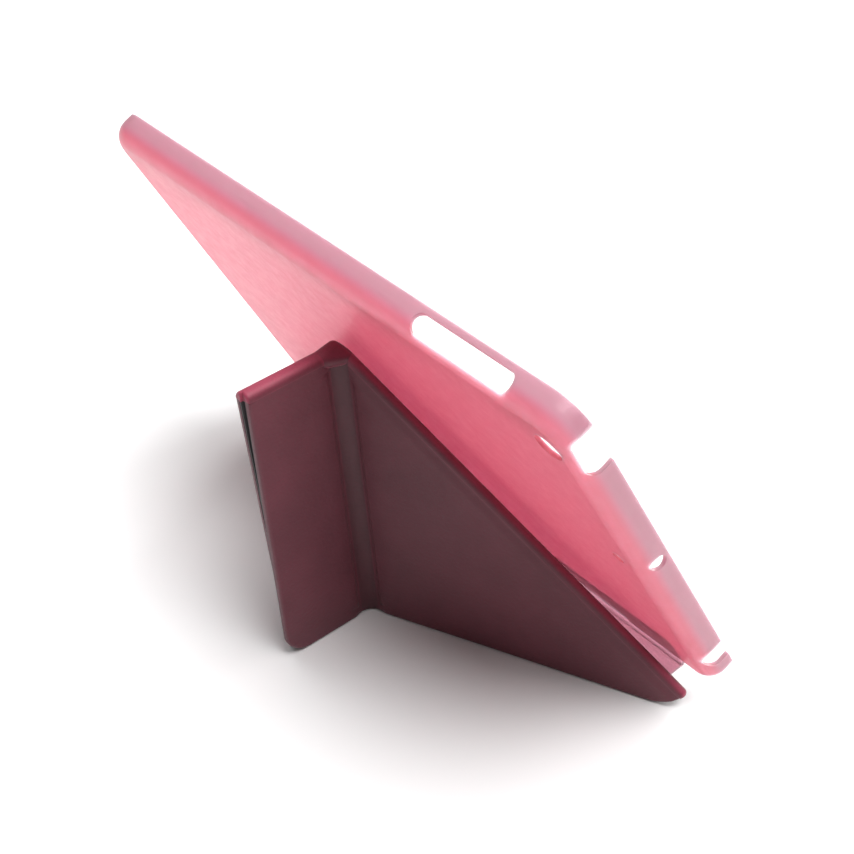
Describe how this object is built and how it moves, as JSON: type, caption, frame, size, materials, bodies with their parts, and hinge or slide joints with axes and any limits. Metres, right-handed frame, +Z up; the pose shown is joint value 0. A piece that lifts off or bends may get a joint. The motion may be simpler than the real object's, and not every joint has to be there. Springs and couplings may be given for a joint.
{
  "type": "tablet case",
  "caption": "Folding tablet case: a thin clip-on plastic back tray and a creased leather cover folded behind it into an upright Y-shaped stand.",
  "frame": {"origin": "middle of the footprint box, on the floor the stand rests on", "axes": "+Z up; +X along the tray's long side, from the camera-hole end to the far end; the screen side faces -Y and up, and the fins point to +Y"},
  "size_m": [0.203, 0.087, 0.1361],
  "materials": {
    "tray_plastic": "frosted, slightly translucent",
    "cover_leather": "fine-grained satin synthetic leather",
    "cover_lining": "brushed microfibre",
    "stiffener": "plain board",
    "magnet": "plated"
  },
  "bodies": {
    "tray": {"back_shell": "tray_plastic", "hinge_tab": "cover_leather"},
    "spine": {"spine_skin": "cover_leather", "spine_board": "stiffener", "spine_lining": "cover_lining"},
    "base": {"base_skin": "cover_leather", "base_board": "stiffener", "base_lining": "cover_lining"},
    "near_wing": {"near_wing_skin": "cover_leather", "near_wing_board": "stiffener", "near_wing_lining": "cover_lining"},
    "near_fin": {"near_fin_skin": "cover_leather", "near_fin_board": "stiffener", "near_fin_lining": "cover_lining", "near_fin_magnets": "magnet"},
    "far_wing": {"far_wing_skin": "cover_leather", "far_wing_board": "stiffener", "far_wing_lining": "cover_lining"},
    "far_fin": {"far_fin_skin": "cover_leather", "far_fin_board": "stiffener", "far_fin_lining": "cover_lining", "far_fin_magnets": "magnet"}
  },
  "joints": [
    {"name": "tray_hinge", "type": "hinge", "parent": "tray", "child": "spine", "pos_m": [0, -0.03715, 0.00817], "axis": [-1, 0, 0], "range_deg": [0, 145]},
    {"name": "cover_hinge", "type": "hinge", "parent": "spine", "child": "base", "pos_m": [0, -0.03176, 0], "axis": [-1, 0, 0], "range_deg": [0, 145]},
    {"name": "near_wing_fold", "type": "hinge", "parent": "base", "child": "near_wing", "pos_m": [-0.1, -0.03176, 0], "axis": [0.676, 0.2932, 0.676], "range_deg": [0, 147.3]},
    {"name": "far_wing_fold", "type": "hinge", "parent": "base", "child": "far_wing", "pos_m": [0.1, -0.03176, 0], "axis": [0.676, -0.2932, -0.676], "range_deg": [0, 147.31]},
    {"name": "near_fin_fold", "type": "hinge", "parent": "near_wing", "child": "near_fin", "pos_m": [-0.0028, 0.01302, 0], "axis": [0, 0, -1], "range_deg": [0, 66.56]},
    {"name": "far_fin_fold", "type": "hinge", "parent": "far_wing", "child": "far_fin", "pos_m": [0.0028, 0.01302, 0], "axis": [0, 0, 1], "range_deg": [0, 66.56]}
  ],
  "couplings": [
    {"joint": "far_wing_fold", "follows": "near_wing_fold", "ratio": 1},
    {"joint": "near_fin_fold", "follows": "near_wing_fold", "ratio": 0.45177},
    {"joint": "far_fin_fold", "follows": "near_wing_fold", "ratio": 0.45177}
  ]
}
